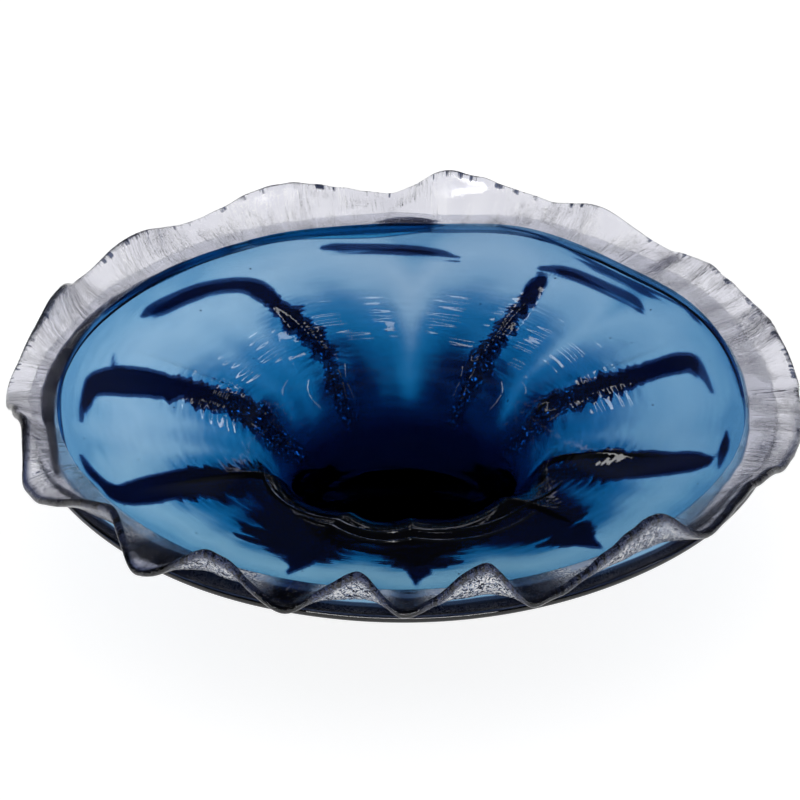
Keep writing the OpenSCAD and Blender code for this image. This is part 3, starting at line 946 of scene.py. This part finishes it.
def floor():
    rings, sectors = (0.0, 0.3, 0.6, 1.2, 3.0, 8.0), 96
    verts, faces = [(0, 0, FLOOR_LEVEL)], []
    for r in rings[1:]:
        verts += [(r * math.cos(k * TAU / sectors), r * math.sin(k * TAU / sectors), FLOOR_LEVEL)
                  for k in range(sectors)]
    for k in range(sectors):
        faces.append((0, 1 + k, 1 + (k + 1) % sectors))
    faces += ring_faces(len(rings) - 1, sectors, 1, flip=True)
    mesh = bpy.data.meshes.new("Studio_floor")
    mesh.from_pydata(verts, [], faces)
    piece = bpy.data.objects.new("Studio_floor", mesh)
    bpy.context.scene.collection.objects.link(piece)
    mat, _, shader, _ = new_material("Studio_floor")
    shader.inputs["Base Color"].default_value = (0.45, 0.45, 0.455, 1)
    shader.inputs["Roughness"].default_value = 0.9
    shader.inputs["Emission Color"].default_value = (1, 1, 1, 1)
    shader.inputs["Emission Strength"].default_value = 0.84
    mesh.materials.append(mat)


floor()


def world():
    """A studio that lights the floor from low all round, and that the glass mirrors as a dark room."""
    w = bpy.data.worlds.new("Studio")
    bpy.context.scene.world = w
    w.use_nodes = True
    nt = w.node_tree
    nt.nodes.clear()
    out = nt.nodes.new("ShaderNodeOutputWorld")
    back = nt.nodes.new("ShaderNodeBackground")
    coords = nt.nodes.new("ShaderNodeTexCoord")
    split = nt.nodes.new("ShaderNodeSeparateXYZ")
    nt.links.new(coords.outputs["Generated"], split.inputs["Vector"])
    dark = (0.010, 0.011, 0.015)
    mirrored = toned(nt, split.outputs["Z"], 0, 1, (
        (0.0, dark), (0.42, dark), (0.52, (0.07, 0.08, 0.10)), (0.60, (0.05, 0.06, 0.08)), (0.70, dark),
        (0.82, (0.05, 0.055, 0.07)), (0.93, dark)))
    low_light = toned(nt, split.outputs["Z"], 0, 1, (
        (0.0, (1.2, 1.2, 1.2)), (0.30, (1.1, 1.1, 1.1)), (0.42, (0.2, 0.2, 0.2))))
    path = nt.nodes.new("ShaderNodeLightPath")
    lit = maths(nt, "MINIMUM", path.outputs["Diffuse Depth"], 1.0)
    mix = node(nt, "ShaderNodeMix", data_type="RGBA")
    nt.links.new(lit, mix.inputs[0])
    nt.links.new(mirrored, mix.inputs[6])
    nt.links.new(low_light, mix.inputs[7])
    seen = node(nt, "ShaderNodeMix", data_type="RGBA")
    seen.inputs[7].default_value = (1, 1, 1, 1)
    nt.links.new(path.outputs["Is Camera Ray"], seen.inputs[0])
    nt.links.new(mix.outputs[2], seen.inputs[6])
    nt.links.new(seen.outputs[2], back.inputs["Color"])
    nt.links.new(back.outputs["Background"], out.inputs["Surface"])


world()

CENTRE = Vector((0, 0, RIM_HEIGHT * MM))


def softbox(name, place, target, size, power, mirrored=True, lights=True):
    """An area light. Not mirrored, it shows in no reflection. Not lighting, it leaves matt things alone."""
    lamp = bpy.data.lights.new(name, "AREA")
    lamp.shape = "RECTANGLE"
    lamp.size, lamp.size_y = size
    lamp.energy = power
    piece = bpy.data.objects.new(name, lamp)
    piece.location = place
    piece.rotation_euler = (Vector(target) - Vector(place)).to_track_quat("-Z", "Y").to_euler()
    piece.visible_glossy = mirrored
    piece.visible_diffuse = lights
    piece.visible_camera = False
    bpy.context.scene.collection.objects.link(piece)


def at(azimuth, elevation, distance=2.2):
    """A place round the bowl. Azimuth 0 is behind it, and grows to the right."""
    a, e = math.radians(azimuth), math.radians(elevation)
    return CENTRE + distance * Vector((math.sin(a) * math.cos(e), math.cos(a) * math.cos(e), math.sin(e)))


softbox("Top_light", (0, 0, 2.4), CENTRE, (3.2, 3.2), 14, mirrored=False)
softbox("Front_strip", at(180, 13), CENTRE, (2.0, 0.4), 30, lights=False)
for name, azimuth, elevation, size, power in (
        ("Window_1", -16, 40, (0.07, 0.45), 0.40), ("Window_2", -14, 60, (0.07, 0.45), 0.40),
        ("Window_3", 10, 62, (0.07, 0.45), 0.40), ("Window_4", 20, 31, (0.07, 0.40), 0.36),
        ("Window_5", 22, 50, (0.06, 0.40), 0.30), ("Window_6", 40, 66, (0.07, 0.40), 0.36),
        ("Window_7", -44, 62, (0.07, 0.40), 0.36),
        ("Left_strip", -63, 34, (0.06, 0.9), 0.4), ("Right_strip", 63, 34, (0.06, 0.9), 0.3),
        ("Left_front_strip", -104, 30, (0.06, 0.9), 0.8), ("Right_front_strip", 104, 30, (0.06, 0.9), 0.8)):
    softbox(name, at(azimuth, elevation), CENTRE, size, power)

ELEVATION = math.radians(32.9)
DISTANCE = 2.6
# The width of the view where the bowl stands, and how far left of and under its lip's centre it aims
ACROSS = 0.4096
AIM_LEFT, AIM_DOWN = 0.0023, 0.0032
SENSOR = 36
camera_data = bpy.data.cameras.new("Camera")
camera = bpy.data.objects.new("Camera", camera_data)
VIEW_UP = Vector((0, math.sin(ELEVATION), math.cos(ELEVATION)))
aim = CENTRE - Vector((AIM_LEFT, 0, 0)) - AIM_DOWN * VIEW_UP
camera.location = aim + DISTANCE * Vector((0, -math.cos(ELEVATION), math.sin(ELEVATION)))
camera.rotation_euler = (aim - camera.location).to_track_quat("-Z", "Y").to_euler()
camera_data.sensor_width = SENSOR
camera_data.lens = SENSOR * DISTANCE / ACROSS
bpy.context.scene.collection.objects.link(camera)
bpy.context.scene.camera = camera
scene = bpy.context.scene
scene.view_settings.view_transform = "Standard"
scene.cycles.max_bounces = 20
scene.cycles.transmission_bounces = 20
scene.cycles.glossy_bounces = 8
scene.cycles.diffuse_bounces = 4
